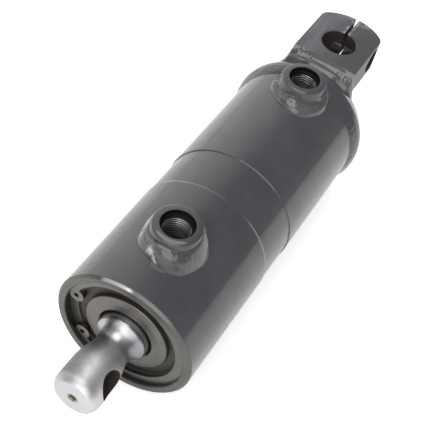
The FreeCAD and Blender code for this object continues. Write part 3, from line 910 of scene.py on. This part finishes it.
def lug_bead_section(x):
    """Outline of the top bead at one x, as (station, height) points: over the bead, then back under it."""
    beyond = min(max((abs(x) - LUG_HALF_X) / SKIRT, 0.0), 1.0)
    sink = 1.0 - (1.0 - beyond) ** 2.3
    front = CAP_STATION + (1.5 * beyond - 5.2 + 0.8 * noise.noise(Vector((x * 120.0, 3.0, 0.0)))) * MM
    start = Vector((front, cap_height(x, front, -0.15 * MM)))
    wave = 0.3 * MM * noise.noise(Vector((x * 150.0, 8.0, 0.0)))
    back = CAP_STATION + (PREP_DEPTH + 0.5 * MM) * (1.0 - beyond) + wave
    rim = cap_height(x, CAP_STATION, -1.5 * MM)
    end = Vector((back, LUG_TOP + 0.02 * MM + (rim + 0.6 * MM - LUG_TOP) * sink))
    line = end - start
    out = Vector((-line.y, line.x)).normalized()
    over = []
    for k in range(BEAD_DOWN + 1):
        t = k / BEAD_DOWN
        passes = 0.95 * hump(t, 0.27, 0.17) + 0.8 * hump(t, 0.70, 0.19)
        lumps = 0.32 * weld_lumps(0.6 * x, 0.8 * line.length * t, 41.0)
        ripple = 0.06 * math.cos(2 * math.pi * (x / RIPPLE_PITCH + 0.8 * math.sin(math.pi * t)))
        lift = (passes + (lumps + ripple) * math.sin(math.pi * t)) * (1.0 - 0.8 * beyond) * MM
        point = start + line * t + out * lift
        point.y = min(point.y, LUG_TOP + 0.35 * MM)
        over.append(point)
    low = Vector((CAP_STATION - 1.0 * MM, min(rim - 1.0 * MM, LUG_TOP - 12.5 * MM)))
    heel = end - Vector((0.2 * MM, 0.6 * MM))
    under = [heel, (heel + low) / 2, low, start - Vector((0.0, 1.2 * MM))]
    return [at(x, point.x, point.y) for point in over + under]


def lug_top_bead():
    """Two passes that fill the lug's prepared edge and run out over the cap's rim at both ends."""
    reach = LUG_HALF_X + SKIRT
    edit = bmesh.new()
    loops = []
    for i in range(BEAD_ACROSS + 1):
        x = reach * (-1.0 + 2.0 * i / BEAD_ACROSS)
        loops.append([edit.verts.new(point) for point in lug_bead_section(x)])
    join_loops(edit, loops)
    return object_from(edit, "lug_weld_top_bead", [WELD_ENAMEL], WELD_SMOOTH_DEGREES)


def lug_side_path():
    """Points down one side of the lug, under it and up the other, each with the way out of the lug."""
    def corner(x, start):
        angles = [math.radians(start + 90 * k / 6) for k in range(1, 6)]
        return [(x, LUG_FOOT, math.cos(angle), math.sin(angle)) for angle in angles]

    heights = [SIDE_TOP + (LUG_FOOT - SIDE_TOP) * k / 14 for k in range(15)]
    down = [(-LUG_HALF_X, height, -1.0, 0.0) for height in heights]
    under = [(-LUG_HALF_X + 2 * LUG_HALF_X * k / 40, LUG_FOOT, 0.0, -1.0) for k in range(41)]
    up = [(LUG_HALF_X, height, 1.0, 0.0) for height in reversed(heights)]
    return down + corner(-LUG_HALF_X, 180) + under + corner(LUG_HALF_X, 270) + up


def side_bead_section(x, height, out_x, out_z):
    """Outline of the side bead at one point: round its bulging face, then back inside lug and cap."""
    steps = 8
    leg = SIDE_LEG
    while leg > 0.6 * MM and math.hypot(x + out_x * leg, height + out_z * leg) > CAP_REAR_R - 0.8 * MM:
        leg -= 0.1 * MM
    ripple = 0.35 * MM * noise.noise(Vector((x * 300.0, height * 300.0, 2.0)))
    rise = SIDE_LEG + ripple
    outline = []
    for k in range(steps + 1):
        turn = 0.5 * math.pi * k / steps
        bulge = 1.0 - 0.22 * math.sin(2 * turn)
        wave = ripple * math.sin(2 * turn)
        out = leg * math.cos(turn) * bulge + wave
        back = rise * math.sin(turn) * bulge + wave
        outline.append((out, back - 0.05 * MM))
    outline += [(-0.6 * MM, rise * 0.8), (-0.6 * MM, -0.5 * MM), (leg * 0.8, -0.5 * MM)]
    return [at(x + out_x * out, CAP_STATION + back, height + out_z * out) for out, back in outline]


def lug_side_bead():
    """Fillet on the cap's rear face down one side of the lug, under it, and up the other."""
    edit = bmesh.new()
    loops = []
    for place in lug_side_path():
        loops.append([edit.verts.new(point) for point in side_bead_section(*place)])
    join_loops(edit, loops)
    return object_from(edit, "lug_weld_side_bead", [WELD_ENAMEL], WELD_SMOOTH_DEGREES)


# x, station and radius of each drop, in mm
SPATTER = (
    (-22.5, 262.2, 0.9), (-20.4, 265.4, 0.8), (-18.8, 262.8, 0.6), (-17.6, 267.6, 0.9), (-15.4, 264.4, 0.6),
    (-13.8, 266.6, 0.7), (-12.2, 264.0, 1.1), (-10.6, 267.4, 0.5), (-21.2, 269.8, 0.5), (-9.0, 268.8, 0.5),
)


def weld_spatter():
    """Small frozen drops beside the lug's weld, under the paint."""
    edit = bmesh.new()
    stretch = Matrix.Diagonal((1.0, 1.2, 0.62, 1.0))
    for x, station, radius in SPATTER:
        place = at(x * MM, station * MM, LUG_TOP - 0.15 * radius * MM)
        turn = Matrix.Rotation(math.radians(37.0 * x), 4, "Z")
        bmesh.ops.create_icosphere(edit, subdivisions=2, radius=radius * MM,
                                   matrix=Matrix.Translation(place) @ turn @ stretch)
    return object_from(edit, "lug_weld_spatter", [WELD_ENAMEL], 80.0)


def lug_welds():
    top = lug_top_bead()
    for piece in (top, lug_side_bead(), weld_spatter()):
        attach(piece, "barrel")
    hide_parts("lug_weld")


# ---- floor, light and camera ----

FLOOR_HALF = 14.0
# the lower glow near the part is a painted soft shadow on the floor
FLOOR_GLOW = (0.26, 0.42)       # emission near the part and away from it
FLOOR_GLOW_SEEN = 0.44          # added where the camera sees the floor itself


def studio_floor():
    """Pale floor that glows slightly more away from the part, so that it ends as a blank background; the
    dimmer glow near the part is a painted soft shadow.
    """
    edit = bmesh.new()
    bmesh.ops.create_grid(edit, x_segments=8, y_segments=8, size=FLOOR_HALF,
                          matrix=Matrix.Translation((0.0, FRONT_Y / 2, FLOOR_Z)))
    shader = Shader("pale_floor")
    tone = shader.blend(shader.noise(1.5, 2.0), (0.84, 0.84, 0.84), (0.88, 0.88, 0.88))
    shader.feed("Base Color", tone)
    shader.feed("Emission Color", tone)
    away = shader.off_line((0.0, FRONT_Y / 2, 0.0), (0.0, 0.0, 1.0))
    glow = shader.span(away, 0.10, 0.70, *FLOOR_GLOW, smooth=True)
    seen = shader.tree.nodes.new("ShaderNodeLightPath").outputs["Is Camera Ray"]
    shader.feed("Emission Strength", shader.math("ADD", glow, shader.times(seen, FLOOR_GLOW_SEEN)))
    shader.set(Roughness=0.9)
    object_from(edit, "studio_floor", [shader.material])


ROOM_GLOW = 0.34
# direction, where its fade starts and ends (cosines), strength
SOFT_WALLS = (
    ((-0.76, 0.60, 0.26), 0.55, 1.0, 1.05),
    ((0.10, -0.92, 0.20), 0.55, 1.0, 0.80),
)


def studio_world():
    """Dim room with a large soft white wall on the left, another in front, and a pale backdrop."""
    world = bpy.data.worlds.new("studio")
    bpy.context.scene.world = world
    world.use_nodes = True
    tree = world.node_tree
    tree.nodes.clear()
    place = tree.nodes.new("ShaderNodeTexCoord").outputs["Generated"]
    glow = ROOM_GLOW
    for direction, low, high, strength in SOFT_WALLS:
        towards = tree.nodes.new("ShaderNodeVectorMath")
        towards.operation = "DOT_PRODUCT"
        towards.inputs[1].default_value = Vector(direction).normalized()
        tree.links.new(place, towards.inputs[0])
        fade = tree.nodes.new("ShaderNodeMapRange")
        fade.interpolation_type = "SMOOTHSTEP"
        limits = {"From Min": low, "From Max": high, "To Min": 0.0, "To Max": strength}
        for name, number in limits.items():
            fade.inputs[name].default_value = number
        tree.links.new(towards.outputs["Value"], fade.inputs["Value"])
        total = tree.nodes.new("ShaderNodeMath")
        tree.links.new(fade.outputs["Result"], total.inputs[0])
        if isinstance(glow, float):
            total.inputs[1].default_value = glow
        else:
            tree.links.new(glow, total.inputs[1])
        glow = total.outputs["Value"]
    room = tree.nodes.new("ShaderNodeBackground")
    tree.links.new(glow, room.inputs["Strength"])
    backdrop = tree.nodes.new("ShaderNodeBackground")
    backdrop.inputs["Color"].default_value = (1.0, 1.0, 1.0, 1.0)
    seen = tree.nodes.new("ShaderNodeMixShader")
    tree.links.new(tree.nodes.new("ShaderNodeLightPath").outputs["Is Camera Ray"], seen.inputs[0])
    tree.links.new(room.outputs[0], seen.inputs[1])
    tree.links.new(backdrop.outputs[0], seen.inputs[2])
    tree.links.new(seen.outputs[0], tree.nodes.new("ShaderNodeOutputWorld").inputs["Surface"])


# name, place seen from the barrel's middle, diameter, power
SOFT_LIGHTS = (
    ("overhead_softbox", (-0.25, 0.0, 1.7), 1.4, 13.0),
    ("front_softbox", (0.35, -1.35, 0.95), 1.8, 12.0),
)


def soft_light(name, offset, size, power):
    """Round area light aimed at the barrel's middle."""
    light = bpy.data.lights.new(name, "AREA")
    light.shape = "DISK"
    light.size = size
    light.energy = power
    lamp = bpy.data.objects.new(name, light)
    lamp.location = at(0.0, MIDDLE_STATION, 0.0) + Vector(offset)
    lamp.rotation_euler = (-Vector(offset)).to_track_quat("-Z", "Y").to_euler()
    bpy.context.scene.collection.objects.link(lamp)


VIEW_AZIMUTH = math.radians(17.95)
VIEW_ELEVATION = math.radians(48.91)
VIEW_ROLL = math.radians(16.07)
VIEW_DISTANCE = 0.6913
VIEW_SLIP = (-0.0014, 0.0034)   # the camera's own shift to its right and up
LENS_MM = 82.37
SENSOR_MM = 36.0
LENS_SHIFT = (0.0015, 0.0027)


def studio_camera():
    """Camera on a ball round the barrel's middle, tilted about its own line of sight."""
    back = Vector((math.sin(VIEW_AZIMUTH) * math.cos(VIEW_ELEVATION),
                   -math.cos(VIEW_AZIMUTH) * math.cos(VIEW_ELEVATION),
                   math.sin(VIEW_ELEVATION)))
    level_right = (-back).cross(Vector((0, 0, 1))).normalized()
    level_up = level_right.cross(-back)
    cos_roll, sin_roll = math.cos(VIEW_ROLL), math.sin(VIEW_ROLL)
    right = level_right * cos_roll + level_up * sin_roll
    up = level_up * cos_roll - level_right * sin_roll
    place = at(0.0, MIDDLE_STATION, 0.0) + back * VIEW_DISTANCE + right * VIEW_SLIP[0] + up * VIEW_SLIP[1]
    turn = Matrix((right, up, back)).transposed().to_4x4()
    data = bpy.data.cameras.new("camera")
    data.lens = LENS_MM
    data.sensor_width = SENSOR_MM
    data.shift_x, data.shift_y = LENS_SHIFT
    camera = bpy.data.objects.new("camera", data)
    camera.matrix_world = Matrix.Translation(place) @ turn
    bpy.context.scene.collection.objects.link(camera)
    bpy.context.scene.camera = camera


def main():
    dress_nodes()
    port_boss("front_port")
    port_boss("rear_port")
    front_weld()
    rear_weld()
    cap_weld()
    lug_welds()
    studio_floor()
    studio_world()
    for light in SOFT_LIGHTS:
        soft_light(*light)
    studio_camera()
    bpy.context.scene.view_settings.view_transform = "Standard"


main()
